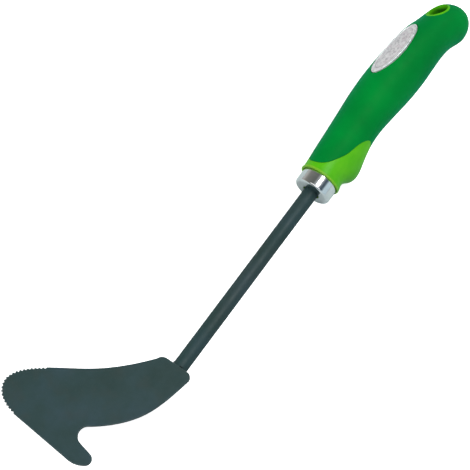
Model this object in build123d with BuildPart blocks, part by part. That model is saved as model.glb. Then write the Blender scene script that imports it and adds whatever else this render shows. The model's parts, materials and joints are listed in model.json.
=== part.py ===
from build123d import *
import math
import os

# Hand weeder: a flat hooked blade welded under the end of a round rod, in a two-colour moulded handle.
#
# Frame, in millimetres: +X runs along the rod from the blade to the handle's end, the blade lies flat
# with +Z up, and its toe points to +Y. The origin is the centre of the hanging hole.
# The handle's own up direction, towards the badge, is turned about the rod by HANDLE_ROLL from +Y.

# Rod
ROD_DIAMETER = 9.0
ROD_FRONT_X = -290.0
ROD_BACK_X = -34.0
ROD_SEAT_DEPTH = 0.9  # flat under the blade
ROD_SEAT_OVERRUN = 0.7  # the flat runs on a little behind the blade
TANG_LENGTH = 44.0
TANG_THICKNESS = 6.0
ROD_END_CHAMFER = 1.0

# Blade
BLADE_THICKNESS = 2.2
BLADE_REAR_X = -269.7
BLADE_EDGE_ROUND = 0.45
FIRST_TOOTH = 2.0  # along the toe's edge, from where the straight front edge ends
TOOTH_PITCH = 2.15
TOOTH_DEPTH = 1.05
TEETH = 22

# Weld beads
WELD_LEG = 3.2
WELD_FOOT_Z = 0.8
WELD_SET_BACK = 1.0  # from each end of the lap
SHOULDER_WELD_LEG = 2.8
SHOULDER_WELD_START = 108.0  # degrees round the rod from the top, towards the toe
SHOULDER_WELD_END = -6.0

# Ferrule
FERRULE_DIAMETER = 22.8
FERRULE_WALL = 1.2
FERRULE_HOLE_DIAMETER = 10.8
FERRULE_FRONT_X = -140.0
FERRULE_SHOWN = 8.9
FERRULE_HIDDEN = 6.0
FERRULE_EDGE_ROUND = 1.7

# Handle
HANDLE_ROLL = 54.0
LIP_X = FERRULE_FRONT_X + FERRULE_SHOWN
GRIP_THICKNESS = 2.2
GRIP_END_THICKNESS = 3.0
GRIP_RIM_ROUND = 0.3
LIP_RIM_WIDTH = 1.0  # a thin raised bead round the collar's lip
LIP_RIM_HALF_HEIGHT = 12.8
LIP_RIM_HALF_WIDTH = 12.6
LIP_RIM_CENTRE = 0.5
LIP_ROUND = 0.3
LIP_GAP = 0.4  # a fine groove between the lip and the ferrule
LIP_GAP_DEPTH = 0.9
END_ROUND = 2.4
ROD_CLEARANCE_DEPTH = 5.0  # the core stands back from the rod behind the ferrule's hole

# Handle stations: distance behind the collar's lip, top and bottom heights from the rod's axis, half width
HANDLE_STATIONS = [
    (0.0, 12.9, -11.8, 12.1),
    (4.0, 13.3, -11.9, 12.0),
    (8.4, 13.9, -12.7, 12.0),
    (12.2, 14.5, -16.4, 12.6),
    (17.0, 14.9, -17.9, 13.2),
    (26.0, 15.4, -14.9, 13.4),
    (40.0, 16.6, -11.0, 13.4),
    (54.0, 17.9, -11.3, 14.2),
    (72.0, 18.3, -13.7, 15.0),
    (92.0, 17.1, -14.8, 14.9),
    (111.0, 14.3, -14.7, 13.6),
    (120.0, 11.2, -16.6, 12.8),
    (130.8, 7.8, -20.8, 12.5),
    (137.8, 4.3, -19.5, 11.0),
    (142.3, -0.3, -15.8, 7.8),
    (144.6, -4.5, -12.4, 4.2),
]

# Front edge of the soft grip in the handle's middle plane: distance behind the lip, height
GRIP_FRONT = [
    (3.0, 18.0),
    (3.9, 13.4),
    (7.6, 10.6),
    (13.4, 8.1),
    (18.4, 6.2),
    (25.0, 4.9),
    (31.0, 3.0),
    (35.2, -1.2),
    (32.6, -7.6),
    (28.4, -12.6),
    (26.5, -18.0),
    (26.5, -26.0),
]

# Hanging hole
HOLE_RADIUS = 4.5
HOLE_WALL = 1.3
HOLE_STRAIGHT_TOP = 0.5
HOLE_STRAIGHT_BOTTOM = -13.0
MOUTH_HEIGHT = 15.5
MOUTH_HALF_LENGTH = 11.6
MOUTH_HALF_WIDTH = 5.9
MOUTH_SHIFT = 2.9
EXIT_DEPTH = 10.0
EXIT_RADIUS = 10.1
EXIT_WALL_GROWTH = 3.4  # the lining is this many times thicker where it ends at the exit

# Badge
BADGE_BEHIND_LIP = 90.8
BADGE_LENGTH = 42.6
BADGE_WIDTH = 13.6
BADGE_RIM = 1.0
BADGE_GAP = 0.45
BADGE_DEPTH = 1.1
BADGE_RIM_PROUD = 0.3
BADGE_RIM_ROUND = 0.2
BADGE_PLATE_PROUD = -0.15  # the plate lies a little lower than the grip

ROD_RADIUS = ROD_DIAMETER / 2
BLADE_BOTTOM_Z = ROD_RADIUS - ROD_SEAT_DEPTH
BLADE_TOP_Z = BLADE_BOTTOM_Z + BLADE_THICKNESS
REACH = 60.0  # longer than any section of the handle

roll = math.radians(HANDLE_ROLL)
handle_up = Vector(0, math.cos(roll), math.sin(roll))
handle_side = Vector(0, -math.sin(roll), math.cos(roll))


def across(x):
    """The plane across the handle at x: its own X is the handle's up direction."""
    return Plane(origin=(x, 0, 0), x_dir=handle_up, z_dir=(1, 0, 0))


def level(height):
    """The plane at a height in the handle, looking down on it: its own X is the rod's."""
    origin = handle_up * height
    return Plane(origin=origin, x_dir=(1, 0, 0), z_dir=handle_up)


# The handle's middle plane: its own X is the rod's, its own Y is the handle's up direction
mid_plane = Plane(origin=(0, 0, 0), x_dir=(1, 0, 0), z_dir=handle_side)


def handle_body(inset):
    """The handle's whole outer shape, with its skin moved inwards by inset."""
    with BuildPart() as body:
        for behind, top, bottom, half_width in HANDLE_STATIONS:
            with BuildSketch(across(LIP_X + behind)):
                with Locations(((top + bottom) / 2, 0)):
                    Ellipse((top - bottom) / 2 - inset, half_width - inset)
        loft()
        fillet(body.faces().sort_by(Axis.X)[-1].edges(), END_ROUND - inset / 2)
    return body.part


def ellipse_prism(half_length, half_width):
    """An upright prism of the badge's plan, reaching from the rod's axis out past the handle."""
    with BuildPart() as prism:
        with BuildSketch(level(0)):
            with Locations((LIP_X + BADGE_BEHIND_LIP, 0)):
                Ellipse(half_length, half_width)
        extrude(amount=REACH)
    return prism.part


def hole_cutter(wall):
    """The hanging hole's inside with a wall added round it: a straight bore, a long mouth and a flared exit."""
    bore = HOLE_RADIUS + wall
    with BuildPart() as cutter:
        with BuildSketch(level(HOLE_STRAIGHT_BOTTOM)):
            Circle(bore)
        extrude(amount=HOLE_STRAIGHT_TOP - HOLE_STRAIGHT_BOTTOM)
        with BuildSketch(level(HOLE_STRAIGHT_TOP)):
            Circle(bore)
        with BuildSketch(level(HOLE_STRAIGHT_TOP + MOUTH_HEIGHT)):
            with Locations((MOUTH_SHIFT, 0)):
                Ellipse(MOUTH_HALF_LENGTH + wall, MOUTH_HALF_WIDTH + wall)
        loft()
        with BuildSketch(level(HOLE_STRAIGHT_BOTTOM)):
            Circle(bore)
        with BuildSketch(level(HOLE_STRAIGHT_BOTTOM - EXIT_DEPTH)):
            Circle(EXIT_RADIUS + EXIT_WALL_GROWTH * wall)
        loft()
    return cutter.part


# Rod, with a flat for the blade at its front end and a flattened tang at its back end
with BuildPart() as shaft:
    with BuildSketch(Plane.YZ.offset(ROD_FRONT_X)):
        Circle(ROD_RADIUS)
    extrude(amount=ROD_BACK_X - ROD_FRONT_X)
    chamfer(shaft.edges().filter_by(GeomType.CIRCLE), ROD_END_CHAMFER)
    seat_length = BLADE_REAR_X + ROD_SEAT_OVERRUN - ROD_FRONT_X
    with BuildSketch(Plane.XY.offset(BLADE_BOTTOM_Z)):
        with Locations((ROD_FRONT_X + seat_length / 2, 0)):
            Rectangle(seat_length, ROD_DIAMETER)
    extrude(amount=ROD_SEAT_DEPTH, mode=Mode.SUBTRACT)
    for side in (1, -1):
        with BuildSketch(mid_plane.offset(side * TANG_THICKNESS / 2)):
            with Locations((ROD_BACK_X - TANG_LENGTH / 2, 0)):
                Rectangle(TANG_LENGTH, ROD_DIAMETER)
        extrude(amount=side * ROD_DIAMETER, mode=Mode.SUBTRACT)
shaft.part.label = "shaft"

# Blade: a straight rear edge, a curved heel ending in a hooked notch, a straight front edge and a round toe
with BuildPart() as blade:
    with BuildSketch(Plane.XY.offset(BLADE_BOTTOM_Z)):
        with BuildLine():
            rear = Line((BLADE_REAR_X, 7.8), (BLADE_REAR_X, -6.1))
            corner = ThreePointArc(rear @ 1, (-270.7, -8.5), (-273.5, -9.6))
            heel = Spline(corner @ 1, (-285.7, -7.0), (-302.2, -1.4), (-314.6, 7.4), (-325.6, 19.9))
            throat = ThreePointArc(heel @ 1, (-331.4, 22.3), (-335.6, 18.0))
            hook = Line(throat @ 1, (-337.3, 9.9))
            hook_tip = ThreePointArc(hook @ 1, (-340.1, 7.0), (-343.8, 8.2))
            hook_back = Spline(hook_tip @ 1, (-346.4, 13.2), (-346.8, 19.5))
            front = Line(hook_back @ 1, (-343.8, 56.8))
            toe = Spline(
                front @ 1,
                (-342.1, 64.4),
                (-338.5, 70.4),
                (-331.2, 73.9),
                (-323.7, 71.2),
                (-316.6, 64.4),
                (-307.4, 51.3),
                (-296.2, 35.1),
                (-280.7, 18.9),
                (-273.0, 12.4),
            )
            ThreePointArc(toe @ 1, (-270.6, 10.5), rear @ 0)
        make_face()
    extrude(amount=BLADE_THICKNESS)
    fillet(blade.edges().filter_by(Axis.Z, reverse=True), BLADE_EDGE_ROUND)
    with BuildSketch(Plane.XY.offset(BLADE_BOTTOM_Z)):
        for tooth in range(TEETH):
            along = FIRST_TOOTH + tooth * TOOTH_PITCH
            notch = toe.position_at(along, position_mode=PositionMode.LENGTH)
            heading = toe.tangent_angle_at(along, position_mode=PositionMode.LENGTH)
            with Locations((notch.X, notch.Y)):
                Rectangle(TOOTH_DEPTH * math.sqrt(2), TOOTH_DEPTH * math.sqrt(2), rotation=heading + 45)
    extrude(amount=BLADE_THICKNESS, mode=Mode.SUBTRACT)
blade.part.label = "blade"


def side_weld(side):
    """A weld bead along one side of the lap, in the corner between the rod and the blade's underside."""
    toe_y = math.sqrt(ROD_RADIUS**2 - BLADE_BOTTOM_Z**2) + WELD_LEG
    foot_y = math.sqrt(ROD_RADIUS**2 - WELD_FOOT_Z**2)
    with BuildPart() as bead:
        with BuildSketch(Plane.YZ.offset(ROD_FRONT_X + WELD_SET_BACK)):
            with BuildLine():
                top = Line((0, BLADE_BOTTOM_Z), (side * toe_y, BLADE_BOTTOM_Z))
                crown = (side * (toe_y + foot_y + 0.5) / 2, (BLADE_BOTTOM_Z + WELD_FOOT_Z) / 2)
                face = ThreePointArc(top @ 1, crown, (side * foot_y, WELD_FOOT_Z))
                Polyline(face @ 1, (0, WELD_FOOT_Z), top @ 0)
            make_face()
        extrude(amount=BLADE_REAR_X - ROD_FRONT_X - 2 * WELD_SET_BACK)
        add(shaft.part, mode=Mode.SUBTRACT)
    return bead


weld_side_left = side_weld(1)
weld_side_left.part.label = "weld_side_left"

weld_side_right = side_weld(-1)
weld_side_right.part.label = "weld_side_right"

# Weld bead across the rod's front end, under the blade
with BuildPart() as weld_end:
    with BuildSketch(Plane.XZ):
        with BuildLine():
            end_face = Polyline(
                (ROD_FRONT_X - WELD_LEG, BLADE_BOTTOM_Z),
                (ROD_FRONT_X + ROD_END_CHAMFER, BLADE_BOTTOM_Z),
                (ROD_FRONT_X + ROD_END_CHAMFER, WELD_FOOT_Z),
                (ROD_FRONT_X, WELD_FOOT_Z),
            )
            ThreePointArc(end_face @ 1, (ROD_FRONT_X - WELD_LEG * 0.6, WELD_LEG * 0.6), end_face @ 0)
        make_face()
    extrude(amount=ROD_RADIUS - ROD_END_CHAMFER, both=True)
    add(shaft.part, mode=Mode.SUBTRACT)
weld_end.part.label = "weld_end"

# Smooth weld ramp from the blade's rear edge down to the rod, over the top and the toe's side of the rod
with BuildPart() as weld_shoulder:
    start = math.radians(SHOULDER_WELD_START)
    outwards = Vector(0, math.sin(start), math.cos(start))
    with BuildSketch(Plane(origin=(0, 0, 0), x_dir=(1, 0, 0), z_dir=Vector(1, 0, 0).cross(outwards))):
        with BuildLine():
            foot_x = BLADE_REAR_X + SHOULDER_WELD_LEG
            base = Polyline(
                (foot_x, ROD_RADIUS),
                (foot_x, BLADE_BOTTOM_Z),
                (BLADE_REAR_X, BLADE_BOTTOM_Z),
                (BLADE_REAR_X, BLADE_TOP_Z - BLADE_EDGE_ROUND),
            )
            sag = (BLADE_REAR_X + SHOULDER_WELD_LEG * 0.35, ROD_RADIUS + SHOULDER_WELD_LEG * 0.12)
            ThreePointArc(base @ 1, sag, base @ 0)
        make_face()
    revolve(axis=Axis.X, revolution_arc=SHOULDER_WELD_START - SHOULDER_WELD_END)
    add(shaft.part, mode=Mode.SUBTRACT)
weld_shoulder.part.label = "weld_shoulder"

# Ferrule: a drawn metal cap with a hole in its front for the rod
with BuildPart() as ferrule:
    with BuildSketch(Plane.YZ.offset(FERRULE_FRONT_X)):
        Circle(FERRULE_DIAMETER / 2)
    extrude(amount=FERRULE_SHOWN + FERRULE_HIDDEN)
    fillet(ferrule.edges().filter_by(GeomType.CIRCLE).sort_by(Axis.X)[0], FERRULE_EDGE_ROUND)
    with BuildSketch(Plane.YZ.offset(FERRULE_FRONT_X + FERRULE_WALL)):
        Circle(FERRULE_DIAMETER / 2 - FERRULE_WALL)
    extrude(amount=FERRULE_SHOWN + FERRULE_HIDDEN, mode=Mode.SUBTRACT)
    with BuildSketch(Plane.YZ.offset(FERRULE_FRONT_X)):
        Circle(FERRULE_HOLE_DIAMETER / 2)
    extrude(amount=FERRULE_WALL, mode=Mode.SUBTRACT)
ferrule.part.label = "ferrule"

# The hard core's own outline inside the grip, which stops short of the handle's end
with BuildPart() as core_inside:
    add(handle_body(GRIP_THICKNESS))
    grip_end = Plane.YZ.offset(LIP_X + HANDLE_STATIONS[-1][0] - GRIP_END_THICKNESS)
    split(bisect_by=grip_end, keep=Keep.BOTTOM)

# The soft grip before the badge's pocket is cut: a skin over the handle, behind its front edge
with BuildPart() as grip_blank:
    with BuildSketch(mid_plane):
        with BuildLine():
            front_edge = Spline(*[(LIP_X + behind, height) for behind, height in GRIP_FRONT])
            Polyline(front_edge @ 1, (REACH, -REACH), (REACH, REACH), front_edge @ 0)
        make_face()
    extrude(amount=REACH, both=True)
    add(handle_body(0), mode=Mode.INTERSECT)
    add(core_inside.part, mode=Mode.SUBTRACT)
    add(hole_cutter(HOLE_WALL), mode=Mode.SUBTRACT)

# Hard core: collar, finger guard, the hole's lining, and the body inside the grip
with BuildPart() as handle_core:
    with BuildSketch(across(LIP_X)):
        with Locations((LIP_RIM_CENTRE, 0)):
            Ellipse(LIP_RIM_HALF_HEIGHT, LIP_RIM_HALF_WIDTH)
    extrude(amount=LIP_RIM_WIDTH)
    fillet(handle_core.edges(), LIP_ROUND)
    add(handle_body(0))
    add(grip_blank.part, mode=Mode.SUBTRACT)
    add(hole_cutter(0), mode=Mode.SUBTRACT)
    with BuildSketch(Plane.YZ.offset(LIP_X)):
        Circle(FERRULE_DIAMETER / 2)
    extrude(amount=FERRULE_HIDDEN, mode=Mode.SUBTRACT)
    with BuildSketch(Plane.YZ.offset(LIP_X)):
        Circle(FERRULE_DIAMETER / 2 + LIP_GAP)
    extrude(amount=LIP_GAP_DEPTH, mode=Mode.SUBTRACT)
    with BuildSketch(Plane.YZ.offset(FERRULE_FRONT_X + FERRULE_WALL)):
        Circle(FERRULE_DIAMETER / 2 - FERRULE_WALL)
    extrude(amount=FERRULE_SHOWN - FERRULE_WALL + FERRULE_HIDDEN)
    with BuildSketch(Plane.YZ.offset(FERRULE_FRONT_X + FERRULE_WALL)):
        Circle(FERRULE_HOLE_DIAMETER / 2)
    extrude(amount=ROD_CLEARANCE_DEPTH, mode=Mode.SUBTRACT)
    add(shaft.part, mode=Mode.SUBTRACT)
handle_core.part.label = "handle_core"

# Soft grip, with an oval pocket for the badge
with BuildPart() as badge_pocket:
    add(ellipse_prism(BADGE_LENGTH / 2 + BADGE_GAP, BADGE_WIDTH / 2 + BADGE_GAP))
    add(handle_body(BADGE_DEPTH), mode=Mode.SUBTRACT)

with BuildPart() as soft_grip:
    add(grip_blank.part)
    add(badge_pocket.part, mode=Mode.SUBTRACT)
    under_the_surface = handle_body(GRIP_THICKNESS / 4).solid()
    cut_edges = soft_grip.faces().filter_by(GeomType.EXTRUSION).edges()
    long_edges = [edge for edge in cut_edges if edge.length > 2 * GRIP_THICKNESS]
    fillet([edge for edge in long_edges if not under_the_surface.is_inside(edge @ 0.5)], GRIP_RIM_ROUND)
soft_grip.part.label = "soft_grip"


def badge_layer(proud):
    """A curved layer that follows the handle, from the pocket's floor to a height over the grip."""
    with BuildPart() as layer:
        add(handle_body(-proud))
        add(handle_body(BADGE_DEPTH), mode=Mode.SUBTRACT)
    return layer.part


# Badge: an oval rim standing a little proud, with a plate inside it
with BuildPart() as badge_frame:
    add(ellipse_prism(BADGE_LENGTH / 2, BADGE_WIDTH / 2))
    add(ellipse_prism(BADGE_LENGTH / 2 - BADGE_RIM, BADGE_WIDTH / 2 - BADGE_RIM), mode=Mode.SUBTRACT)
    add(badge_layer(BADGE_RIM_PROUD), mode=Mode.INTERSECT)
    under_the_rim = handle_body(0).solid()
    fillet([edge for edge in badge_frame.edges() if not under_the_rim.is_inside(edge @ 0.5)], BADGE_RIM_ROUND)
badge_frame.part.label = "badge_frame"

with BuildPart() as badge_plate:
    add(ellipse_prism(BADGE_LENGTH / 2 - BADGE_RIM, BADGE_WIDTH / 2 - BADGE_RIM))
    add(badge_layer(BADGE_PLATE_PROUD), mode=Mode.INTERSECT)
badge_plate.part.label = "badge_plate"

pieces = [
    blade,
    shaft,
    weld_side_left,
    weld_side_right,
    weld_end,
    weld_shoulder,
    ferrule,
    handle_core,
    soft_grip,
    badge_frame,
    badge_plate,
]
os.makedirs("parts", exist_ok=True)
for piece in pieces:
    export_step(piece.part, f"parts/{piece.part.label}.step")
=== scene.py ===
import json
import math

import bpy
from mathutils import Matrix, Vector


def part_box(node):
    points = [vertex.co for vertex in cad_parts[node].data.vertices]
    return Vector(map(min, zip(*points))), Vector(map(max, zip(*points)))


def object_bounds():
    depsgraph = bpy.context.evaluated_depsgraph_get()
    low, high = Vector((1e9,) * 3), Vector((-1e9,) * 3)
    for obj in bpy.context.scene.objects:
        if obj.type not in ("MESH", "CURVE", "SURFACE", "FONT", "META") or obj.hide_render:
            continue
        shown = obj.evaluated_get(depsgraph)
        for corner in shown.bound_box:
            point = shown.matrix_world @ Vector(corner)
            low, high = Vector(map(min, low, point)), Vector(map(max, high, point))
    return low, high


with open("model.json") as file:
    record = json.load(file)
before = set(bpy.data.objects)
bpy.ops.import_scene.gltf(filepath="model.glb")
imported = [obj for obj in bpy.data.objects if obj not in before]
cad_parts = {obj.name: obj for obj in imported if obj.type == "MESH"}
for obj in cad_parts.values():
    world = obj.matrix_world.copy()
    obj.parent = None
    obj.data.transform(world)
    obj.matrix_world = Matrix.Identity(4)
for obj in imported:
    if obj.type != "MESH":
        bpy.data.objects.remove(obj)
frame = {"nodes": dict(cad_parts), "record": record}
cad_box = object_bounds()
nodes = frame["nodes"]
low, high = cad_box
scene = bpy.context.scene

# The handle's own up direction, towards the badge: the hanging hole's axis
handle_up = Vector(frame["record"]["mounts"][0]["axis"])
handle_side = Vector((1, 0, 0)).cross(handle_up)

# ---------------------------------------------------------------- material helpers


def linear(red, green, blue):
    """A screen colour from 0 to 255 as the linear colour that shaders take."""
    def one(value):
        share = value / 255
        return share / 12.92 if share <= 0.04045 else ((share + 0.055) / 1.055) ** 2.4
    return (one(red), one(green), one(blue), 1.0)


class Surface:
    """A material under construction: a Principled shader with helpers for the patterns behind it."""

    def __init__(self, name):
        self.material = bpy.data.materials.new(name)
        self.material.use_nodes = True
        self.tree = self.material.node_tree
        self.shader = self.tree.nodes["Principled BSDF"]
        coordinates = self.tree.nodes.new("ShaderNodeTexCoord")
        self.place = coordinates.outputs["Object"]
        self.facing = coordinates.outputs["Normal"]

    def set(self, **values):
        for name, value in values.items():
            self.shader.inputs[name.replace("_", " ")].default_value = value

    def link(self, source, target):
        self.tree.links.new(source, target)

    def feed(self, value, socket):
        """Links an output to a socket, or sets the socket to a plain number or colour."""
        if isinstance(value, bpy.types.NodeSocket):
            self.link(value, socket)
        else:
            socket.default_value = value

    def noise(self, scale, detail=3.0, roughness=0.5, stretch=(1, 1, 1)):
        mapping = self.tree.nodes.new("ShaderNodeMapping")
        mapping.inputs["Scale"].default_value = stretch
        self.link(self.place, mapping.inputs["Vector"])
        node = self.tree.nodes.new("ShaderNodeTexNoise")
        node.inputs["Scale"].default_value = scale
        node.inputs["Detail"].default_value = detail
        node.inputs["Roughness"].default_value = roughness
        self.link(mapping.outputs["Vector"], node.inputs["Vector"])
        return node.outputs["Fac"]

    def cells(self, scale):
        node = self.tree.nodes.new("ShaderNodeTexVoronoi")
        node.inputs["Scale"].default_value = scale
        self.link(self.place, node.inputs["Vector"])
        return node.outputs["Distance"]

    def math(self, operation, first, second=0.0):
        node = self.tree.nodes.new("ShaderNodeMath")
        node.operation = operation
        self.feed(first, node.inputs[0])
        self.feed(second, node.inputs[1])
        return node.outputs[0]

    def along(self, direction, start=Vector((0, 0, 0)), vector=None):
        """How far the shaded point lies from start, along a direction."""
        shift = self.tree.nodes.new("ShaderNodeVectorMath")
        shift.operation = "SUBTRACT"
        self.link(vector or self.place, shift.inputs[0])
        shift.inputs[1].default_value = start
        dot = self.tree.nodes.new("ShaderNodeVectorMath")
        dot.operation = "DOT_PRODUCT"
        self.link(shift.outputs["Vector"], dot.inputs[0])
        dot.inputs[1].default_value = direction
        return dot.outputs["Value"]

    def ramp(self, source, stops):
        node = self.tree.nodes.new("ShaderNodeValToRGB")
        elements = node.color_ramp.elements
        while len(elements) < len(stops):
            elements.new(0.5)
        for element, (position, colour) in zip(elements, stops):
            element.position = position
            element.color = colour
        self.link(source, node.inputs["Fac"])
        return node.outputs["Color"]

    def span(self, source, start, end, low=0.0, high=1.0):
        """source from start to end, carried over to low to high and held outside that."""
        node = self.tree.nodes.new("ShaderNodeMapRange")
        node.inputs["From Min"].default_value = start
        node.inputs["From Max"].default_value = end
        node.inputs["To Min"].default_value = low
        node.inputs["To Max"].default_value = high
        self.link(source, node.inputs["Value"])
        return node.outputs["Result"]

    def mix(self, share, first, second):
        node = self.tree.nodes.new("ShaderNodeMix")
        node.data_type = "RGBA"
        self.feed(share, node.inputs["Factor"])
        self.feed(first, node.inputs[6])
        self.feed(second, node.inputs[7])
        return node.outputs[2]

    def bump(self, height, distance, strength=1.0, under=None):
        node = self.tree.nodes.new("ShaderNodeBump")
        node.inputs["Strength"].default_value = strength
        node.inputs["Distance"].default_value = distance
        self.link(height, node.inputs["Height"])
        if under:
            self.link(under, node.inputs["Normal"])
        return node.outputs["Normal"]

    def colour(self, source):
        self.link(source, self.shader.inputs["Base Color"])

    def roughness(self, source):
        self.link(source, self.shader.inputs["Roughness"])

    def normal(self, source):
        self.link(source, self.shader.inputs["Normal"])


# ---------------------------------------------------------------- coated steel

COAT_DARK = linear(32, 54, 52)
COAT_BASE = linear(36, 59, 60)
COAT_LIGHT = linear(41, 63, 69)
COAT_BROWN = linear(49, 57, 53)
# a lighter coat colour: the dust specks, and also the painted highlight along the blade's rounded edges
COAT_DUST_AND_HIGHLIGHT = linear(76, 92, 93)


def coat(surface, grain_stretch):
    """The matt dark coating's shared look: soft blotches, a pebbled skin and faint dust in the grain."""
    blotches = surface.ramp(surface.noise(45, 5, 0.6), [
        (0.3, COAT_DARK),
        (0.5, COAT_BASE),
        (0.7, COAT_LIGHT),
    ])
    warm = surface.span(surface.noise(70, 3, 0.5, grain_stretch), 0.52, 0.72, 0.0, 0.45)
    shade = surface.mix(warm, blotches, COAT_BROWN)
    specks = surface.span(surface.noise(2600, 2), 0.66, 0.78, 0.0, 0.5)
    surface.set(Specular_IOR_Level=0.3)
    surface.roughness(surface.span(surface.noise(150, 4), 0.3, 0.7, 0.5, 0.66))
    pebbles = surface.bump(surface.noise(1700, 2), 0.00005, 0.8)
    surface.normal(surface.bump(surface.noise(240, 3, 0.5, grain_stretch), 0.0001, 0.6, pebbles))
    return surface.mix(specks, shade, COAT_DUST_AND_HIGHLIGHT)


def blade_coat():
    """The coating on the flat blade, with a patchy painted highlight along its rounded edges."""
    s = Surface("blade_coat")
    shade = coat(s, (1, 1, 1))
    tilt = s.math("ABSOLUTE", s.along(Vector((0, 0, 1)), vector=s.facing))
    # painted highlight: where the normal tilts away from the flat faces, on the rounded edges, the colour
    # goes patchily lighter
    painted_edge_highlight = s.math("MULTIPLY", s.span(tilt, 0.25, 0.6), s.span(tilt, 0.985, 0.9))
    patchy = s.span(s.noise(120, 4, 0.6), 0.38, 0.62, 0.25, 1.0)
    s.colour(s.mix(s.math("MULTIPLY", painted_edge_highlight, patchy), shade, COAT_DUST_AND_HIGHLIGHT))
    return s.material


def rod_coat():
    """The coating on the round rod, with the drawn bar's faint lengthwise grain under it."""
    s = Surface("rod_coat")
    s.colour(coat(s, (0.18, 1, 1)))
    return s.material


# ---------------------------------------------------------------- handle

FERRULE_HIDDEN = 0.006  # how much of the ferrule is inside the collar
LIP_BEAD = 0.001  # the width of the bead round the collar's lip

# The hanging hole's mouth, and the painted shade inside it. Its rim falls towards the handle's end, and the
# heights follow that fall.
HOLE_RIM_TILT = 0.4
HOLE_RIM_INSIDE = 0.0062  # just under the rim, where the painted shade on the wall starts
HOLE_WALL_DARK = 0.0035  # the painted shade on the wall is full from this height down
HOLE_EXIT_DARK = -0.006  # and the painted shade fades out between these two, towards the exit underneath
HOLE_EXIT_LIGHT = -0.012
HOLE_SHADE_START = -0.014  # the shade grows along X from here to the next, towards the handle's end
HOLE_SHADE_END = 0.003
# painted shade inside the hanging hole
LIME_PAINTED_SHADE = linear(20, 84, 4)
LIME_DARK = linear(74, 171, 8)
LIME_BASE = linear(83, 180, 12)
LIME_LIGHT = linear(97, 188, 18)
# the scuffs' colour, and also a painted highlight on the lip's bead
LIME_SCUFF_AND_HIGHLIGHT = linear(124, 182, 40)
GREEN_DARK = linear(0, 114, 41)
GREEN_BASE = linear(0, 122, 44)
GREEN_LIGHT = linear(0, 130, 47)


def lime_plastic():
    """Hard lime plastic: satin, slightly cloudy and scuffed, with a painted highlight at the lip and painted
    shade inside the hole.
    """
    s = Surface("lime_plastic")
    cloudy = s.ramp(s.noise(48, 4, 0.55), [(0.32, LIME_DARK), (0.5, LIME_BASE), (0.68, LIME_LIGHT)])
    _, ferrule_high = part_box("ferrule")
    lip = Vector((ferrule_high.x - FERRULE_HIDDEN, 0, 0))
    behind_lip = s.along(Vector((1, 0, 0)), lip)
    # painted highlight: a pale band on the bead just behind the lip
    pale = s.span(behind_lip, LIP_BEAD, 1.6 * LIP_BEAD, 0.8, 0.0)
    scuffs = s.span(s.noise(900, 3, 0.6, (0.4, 1, 1)), 0.6, 0.75, 0.0, 0.12)
    # painted shade inside the hanging hole: darker below the rim, fading out towards the exit and growing
    # towards the handle's end
    towards_end = s.span(s.along(Vector((1, 0, 0))), HOLE_SHADE_START, HOLE_SHADE_END)
    above_rim = s.along(handle_up + HOLE_RIM_TILT * Vector((1, 0, 0)))
    below_rim = s.span(above_rim, HOLE_RIM_INSIDE, HOLE_WALL_DARK)
    inside = s.math("MULTIPLY", below_rim, s.span(above_rim, HOLE_EXIT_LIGHT, HOLE_EXIT_DARK))
    hole_painted_shade = s.mix(s.math("MULTIPLY", towards_end, inside), cloudy, LIME_PAINTED_SHADE)
    s.colour(s.mix(s.math("MAXIMUM", pale, scuffs), hole_painted_shade, LIME_SCUFF_AND_HIGHLIGHT))
    s.set(Specular_IOR_Level=0.2)
    s.roughness(s.span(s.noise(180, 4), 0.3, 0.7, 0.34, 0.48))
    grain = s.bump(s.noise(2200, 2), 0.00002)
    s.normal(s.bump(s.noise(140, 2), 0.00006, 0.5, grain))
    return s.material


def green_rubber():
    """Soft-touch rubber: matt and even, with a fine spark-eroded grain and slight hand polish on top."""
    s = Surface("green_rubber")
    s.colour(s.ramp(s.noise(36, 4, 0.55), [(0.32, GREEN_DARK), (0.5, GREEN_BASE), (0.68, GREEN_LIGHT)]))
    s.set(Specular_IOR_Level=0.03, Sheen_Weight=0.4, Sheen_Roughness=0.5, Sheen_Tint=linear(0, 150, 150))
    s.roughness(s.span(s.noise(160, 4), 0.3, 0.7, 0.44, 0.58))
    grain = s.bump(s.cells(2400), 0.00004, 0.7)
    s.normal(s.bump(s.noise(150, 2), 0.00008, 0.5, grain))
    return s.material


# ---------------------------------------------------------------- bright metal

def ferrule_chrome():
    """Bright plating over a drawn cap, with faint marks round its axis and light smudges."""
    s = Surface("ferrule_chrome")
    s.set(Metallic=1.0)
    s.colour(s.ramp(s.noise(160, 4), [(0.35, linear(226, 228, 230)), (0.65, linear(240, 241, 242))]))
    s.roughness(s.span(s.noise(260, 4, 0.6), 0.35, 0.7, 0.07, 0.15))
    s.normal(s.bump(s.noise(420, 3, 0.6, (8, 0.4, 0.4)), 0.000012))
    return s.material


def badge_bright():
    """The badge's rolled rim: bright, lightly brushed metal."""
    s = Surface("badge_bright")
    s.set(Metallic=0.4)
    s.colour(s.ramp(s.noise(400, 3), [(0.35, linear(214, 218, 218)), (0.65, linear(232, 235, 235))]))
    s.roughness(s.span(s.noise(300, 3), 0.3, 0.7, 0.2, 0.34))
    s.normal(s.bump(s.noise(1200, 2, 0.5, (0.2, 1, 1)), 0.00002))
    return s.material


PLATE_HALF_WIDTH = 0.0058
PRINT_RING = 0.86  # the printed ring's place, as a share of the plate's radius
PRINT_MIDDLE = 0.6  # the mottled middle's size, likewise


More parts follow.
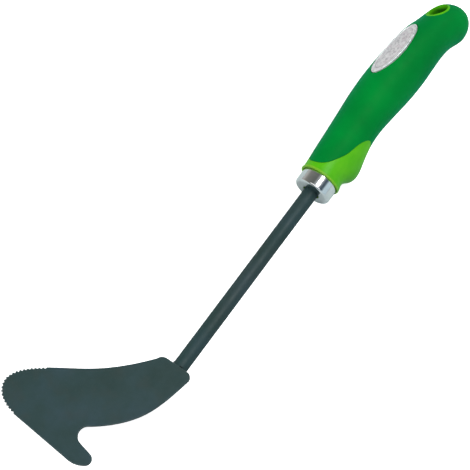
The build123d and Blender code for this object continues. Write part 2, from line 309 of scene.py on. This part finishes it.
def badge_print():
    """Satin silver plate with a thin printed ring and a faint mottled middle, no lettering."""
    s = Surface("badge_print")
    s.set(Metallic=0.25)
    plate_low, plate_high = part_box("badge_plate")
    centre = (plate_low + plate_high) / 2
    half_length = (plate_high.x - plate_low.x) / 2
    lengthwise = s.math("DIVIDE", s.along(Vector((1, 0, 0)), centre), half_length)
    crosswise = s.math("DIVIDE", s.along(handle_side), PLATE_HALF_WIDTH)
    squares = s.math("ADD", s.math("POWER", lengthwise, 2.0), s.math("POWER", crosswise, 2.0))
    radius = s.math("SQRT", squares)
    ring_inside = s.span(radius, PRINT_RING - 0.03, PRINT_RING - 0.01)
    ring = s.math("MULTIPLY", ring_inside, s.span(radius, PRINT_RING + 0.03, PRINT_RING + 0.01))
    silver = s.ramp(s.noise(520, 3, 0.6), [
        (0.35, linear(196, 193, 196)),
        (0.5, linear(216, 214, 216)),
        (0.65, linear(226, 225, 226)),
    ])
    blush = s.span(s.noise(240, 3, 0.6), 0.5, 0.68, 0.0, 0.5)
    tinted = s.mix(blush, silver, linear(208, 186, 196))
    mottle = s.span(s.noise(760, 3, 0.65), 0.5, 0.62)
    middle = s.math("MULTIPLY", s.span(radius, PRINT_MIDDLE + 0.14, PRINT_MIDDLE), mottle)
    marked = s.mix(s.math("MULTIPLY", middle, 0.5), tinted, linear(132, 128, 138))
    s.colour(s.mix(s.math("MULTIPLY", ring, 0.45), marked, linear(120, 118, 124)))
    s.roughness(s.span(s.noise(300, 3), 0.3, 0.7, 0.32, 0.44))
    grain = s.bump(s.noise(1400, 2), 0.00003)
    s.normal(s.bump(s.math("ADD", middle, ring), 0.00006, 0.6, grain))
    return s.material


rod_finish = rod_coat()
FINISHES = {
    "blade": blade_coat(),
    "shaft": rod_finish,
    "weld_side_left": rod_finish,
    "weld_side_right": rod_finish,
    "weld_end": rod_finish,
    "weld_shoulder": rod_finish,
    "ferrule": ferrule_chrome(),
    "handle_core": lime_plastic(),
    "soft_grip": green_rubber(),
    "badge_frame": badge_bright(),
    "badge_plate": badge_print(),
}
for name, material in FINISHES.items():
    for slot in nodes[name].material_slots:
        slot.material = material

# ---------------------------------------------------------------- floor

FLOOR_HALF = 3.0
FLOOR_SHOWN = (0.93, 0.93, 0.93, 1.0)
FLOOR_BOUNCE = (0.5, 0.57, 0.57, 1.0)
FLOOR_GLOW = 0.9
FLOOR_CLEARANCE = 0.0002
LINE_STEPS = 8


def resting_line():
    """The height at X = 0 and the fall along X of a floor that holds the tool's front and back halves."""
    points = [vertex.co for node in nodes.values() for vertex in node.data.vertices]
    middle_x = (low.x + high.x) / 2
    front_half = [point for point in points if point.x < middle_x]
    back_half = [point for point in points if point.x >= middle_x]
    fall = 0.0
    for _ in range(LINE_STEPS):
        front = min(front_half, key=lambda point: point.z + fall * point.x)
        back = min(back_half, key=lambda point: point.z + fall * point.x)
        fall = (front.z - back.z) / (back.x - front.x)
    return front.z + fall * front.x - FLOOR_CLEARANCE, fall


def add_floor():
    """A plain white table. It glows for the camera, to wash out shadows, and sends the object less light."""
    height, fall = resting_line()
    corners = [(-1, -1), (1, -1), (1, 1), (-1, 1)]
    points = [(x * FLOOR_HALF, y * FLOOR_HALF, height - fall * x * FLOOR_HALF) for x, y in corners]
    mesh = bpy.data.meshes.new("floor")
    mesh.from_pydata(points, [], [(0, 1, 2, 3)])
    floor = bpy.data.objects.new("floor", mesh)
    scene.collection.objects.link(floor)
    pale = Surface("pale_floor")
    rays = pale.tree.nodes.new("ShaderNodeLightPath")
    pale.colour(pale.mix(rays.outputs["Is Camera Ray"], FLOOR_BOUNCE, FLOOR_SHOWN))
    glow = pale.math("MULTIPLY", rays.outputs["Is Camera Ray"], FLOOR_GLOW)
    pale.link(glow, pale.shader.inputs["Emission Strength"])
    pale.set(Roughness=1.0, Emission_Color=(1.0, 1.0, 1.0, 1.0), Specular_IOR_Level=0.0)
    mesh.materials.append(pale.material)


add_floor()

# ---------------------------------------------------------------- light

# The studio round the rod's axis: degrees from the +Y horizon over the top to the -Y horizon, and the light
STUDIO = [
    (-10, (0.5, 0.5, 0.48)),
    (8, (0.45, 0.45, 0.43)),
    (26, (0.22, 0.22, 0.2)),
    (78, (0.13, 0.14, 0.13)),
    (94, (0.4, 0.42, 0.42)),
    (116, (0.4, 0.42, 0.44)),
    (128, (0.07, 0.1, 0.13)),
    (142, (0.07, 0.1, 0.13)),
    (152, (0.55, 0.68, 0.74)),
    (176, (0.5, 0.64, 0.7)),
]


def add_studio():
    """The world: pale walls low down and darker ones higher up, and plain white where the camera looks."""
    world = bpy.data.worlds.new("studio")
    scene.world = world
    world.use_nodes = True
    tree = world.node_tree
    direction = tree.nodes.new("ShaderNodeTexCoord")
    parts = tree.nodes.new("ShaderNodeSeparateXYZ")
    angle = tree.nodes.new("ShaderNodeMath")
    angle.operation = "ARCTAN2"
    turn = tree.nodes.new("ShaderNodeMapRange")
    turn.inputs["From Min"].default_value = -math.pi
    turn.inputs["From Max"].default_value = math.pi
    ring = tree.nodes.new("ShaderNodeValToRGB")
    elements = ring.color_ramp.elements
    while len(elements) < len(STUDIO):
        elements.new(0.5)
    for element, (degrees, colour) in zip(elements, STUDIO):
        element.position = (degrees + 180) / 360
        element.color = (*colour, 1.0)
    rays = tree.nodes.new("ShaderNodeLightPath")
    seen = tree.nodes.new("ShaderNodeMix")
    seen.data_type = "RGBA"
    seen.inputs[7].default_value = (1.0, 1.0, 1.0, 1.0)
    background = tree.nodes["Background"]
    for source, target in (
        (direction.outputs["Generated"], parts.inputs["Vector"]),
        (parts.outputs["Z"], angle.inputs[0]),
        (parts.outputs["Y"], angle.inputs[1]),
        (angle.outputs[0], turn.inputs["Value"]),
        (turn.outputs["Result"], ring.inputs["Fac"]),
        (rays.outputs["Is Camera Ray"], seen.inputs["Factor"]),
        (ring.outputs["Color"], seen.inputs[6]),
        (seen.outputs[2], background.inputs["Color"]),
    ):
        tree.links.new(source, target)


def soft_box(name, direction, distance, size, watts, lengthwise):
    """A soft box in a direction from the ferrule, facing it, with its length laid along a given way."""
    light = bpy.data.lights.new(name, "AREA")
    light.shape = "RECTANGLE"
    light.size, light.size_y = size
    light.energy = watts
    back = Vector(direction).normalized()
    across = back.cross(lengthwise).normalized()
    lamp = bpy.data.objects.new(name, light)
    lamp.rotation_mode = "QUATERNION"
    lamp.rotation_quaternion = Matrix((across.cross(back), across, back)).transposed().to_quaternion()
    ferrule_low, ferrule_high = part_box("ferrule")
    lamp.location = (ferrule_low + ferrule_high) / 2 + back * distance
    scene.collection.objects.link(lamp)
    return lamp


ALONG_ROD = Vector((1, 0, 0))
ACROSS_ROD = Vector((0, 1, 0))

add_studio()
# The key is the white band on the ferrule. The side box only lights, and the glint is only mirrored.
soft_box("key", (0.42, -0.26, 0.92), 1.4, (1.3, 0.32), 15.0, ALONG_ROD)
side = soft_box("side", (-0.62, 0.6, 0.6), 1.3, (0.8, 0.8), 9.5, ALONG_ROD)
side.visible_glossy = False
glint = soft_box("glint", (-0.66, -0.1, 0.75), 1.3, (1.5, 0.6), 3.4, ACROSS_ROD)
glint.visible_diffuse = False

# ---------------------------------------------------------------- camera

VIEW_AZIMUTH = math.radians(-54.541)
VIEW_ELEVATION = math.radians(69.594)
VIEW_DISTANCE = 0.8961
VIEW_OFFSET = Vector((-0.02027, -0.00783, 0.00071))  # from the box's middle to where the camera aims
LENS_MM = 119.64
SENSOR_MM = 36.0


def add_camera():
    """The camera looks down steeply on the blade's top and the badge, from the front and the side."""
    data = bpy.data.cameras.new("camera")
    data.lens = LENS_MM
    data.sensor_width = SENSOR_MM
    data.clip_start = 0.01
    data.clip_end = 20.0
    camera = bpy.data.objects.new("camera", data)
    scene.collection.objects.link(camera)
    back = Vector((
        math.sin(VIEW_AZIMUTH) * math.cos(VIEW_ELEVATION),
        -math.cos(VIEW_AZIMUTH) * math.cos(VIEW_ELEVATION),
        math.sin(VIEW_ELEVATION),
    ))
    camera.location = (low + high) / 2 + VIEW_OFFSET + back * VIEW_DISTANCE
    camera.rotation_mode = "QUATERNION"
    camera.rotation_quaternion = (-back).to_track_quat("-Z", "Y")
    scene.camera = camera


add_camera()
scene.view_settings.view_transform = "Standard"
